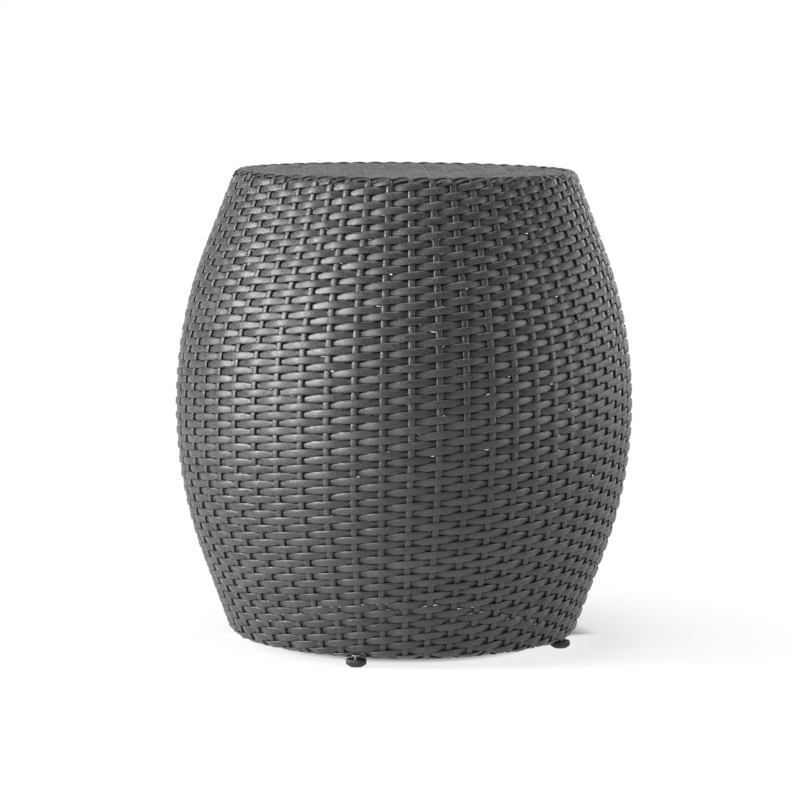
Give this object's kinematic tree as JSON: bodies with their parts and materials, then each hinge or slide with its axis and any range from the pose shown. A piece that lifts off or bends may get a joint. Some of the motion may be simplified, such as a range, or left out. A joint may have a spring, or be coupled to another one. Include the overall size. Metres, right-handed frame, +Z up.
{
  "type": "patio side table",
  "caption": "Barrel-shaped side table of woven resin strips over a tube frame, with a flat woven top and screw-in levelling feet.",
  "frame": {"origin": "on the floor, below the middle of the table", "axes": "+Z up; -Y towards the side that the picture shows; the table is round about Z"},
  "size_m": [0.489, 0.489, 0.508],
  "materials": {
    "wicker": "satin",
    "frame": "satin",
    "insert": "satin",
    "screw": "satin",
    "pad": "matte"
  },
  "bodies": {
    "table": {"top_ring": "frame", "base_ring": "frame", "hoop_lower": "frame", "hoop_middle": "frame", "hoop_upper": "frame", "rib_1": "frame", "rib_2": "frame", "rib_3": "frame", "rib_4": "frame", "rib_5": "frame", "rib_6": "frame", "rib_7": "frame", "rib_8": "frame", "top_beam": "frame", "top_cross_beams": "frame", "wall_weavers_1": "wicker", "wall_weavers_2": "wicker", "wall_weavers_3": "wicker", "wall_weavers_4": "wicker", "wall_weavers_5": "wicker", "wall_weavers_6": "wicker", "wall_stakes_1": "wicker", "wall_stakes_2": "wicker", "wall_stakes_3": "wicker", "wall_stakes_4": "wicker", "top_weavers": "wicker", "top_stakes": "wicker", "rim_binding": "wicker", "base_binding": "wicker", "foot_insert_1": "insert", "foot_insert_2": "insert", "foot_insert_3": "insert", "foot_insert_4": "insert"},
    "foot_1_screw": {"foot_stud_1": "screw"},
    "foot_1_pad": {"foot_pad_1": "pad"},
    "foot_2_screw": {"foot_stud_2": "screw"},
    "foot_2_pad": {"foot_pad_2": "pad"},
    "foot_3_screw": {"foot_stud_3": "screw"},
    "foot_3_pad": {"foot_pad_3": "pad"},
    "foot_4_screw": {"foot_stud_4": "screw"},
    "foot_4_pad": {"foot_pad_4": "pad"}
  },
  "joints": [
    {"name": "foot_1_lift", "type": "slide", "parent": "table", "child": "foot_1_screw", "axis": [0, 0, -1], "range_m": [-0.0015, 0.005]},
    {"name": "foot_1_turn", "type": "hinge", "parent": "foot_1_screw", "child": "foot_1_pad", "pos_m": [0.16868, -0.04773, 0.004], "axis": [0, 0, -1], "range_deg": [-540, 1800]},
    {"name": "foot_2_lift", "type": "slide", "parent": "table", "child": "foot_2_screw", "axis": [0, 0, -1], "range_m": [-0.0015, 0.005]},
    {"name": "foot_2_turn", "type": "hinge", "parent": "foot_2_screw", "child": "foot_2_pad", "pos_m": [0.04773, 0.16868, 0.004], "axis": [0, 0, -1], "range_deg": [-540, 1800]},
    {"name": "foot_3_lift", "type": "slide", "parent": "table", "child": "foot_3_screw", "axis": [0, 0, -1], "range_m": [-0.0015, 0.005]},
    {"name": "foot_3_turn", "type": "hinge", "parent": "foot_3_screw", "child": "foot_3_pad", "pos_m": [-0.16868, 0.04773, 0.004], "axis": [0, 0, -1], "range_deg": [-540, 1800]},
    {"name": "foot_4_lift", "type": "slide", "parent": "table", "child": "foot_4_screw", "axis": [0, 0, -1], "range_m": [-0.0015, 0.005]},
    {"name": "foot_4_turn", "type": "hinge", "parent": "foot_4_screw", "child": "foot_4_pad", "pos_m": [-0.04773, -0.16868, 0.004], "axis": [0, 0, -1], "range_deg": [-540, 1800]}
  ],
  "couplings": [
    {"joint": "foot_1_turn", "follows": "foot_1_lift", "rad_per_m": 6283.2},
    {"joint": "foot_2_turn", "follows": "foot_2_lift", "rad_per_m": 6283.2},
    {"joint": "foot_3_turn", "follows": "foot_3_lift", "rad_per_m": 6283.2},
    {"joint": "foot_4_turn", "follows": "foot_4_lift", "rad_per_m": 6283.2}
  ]
}
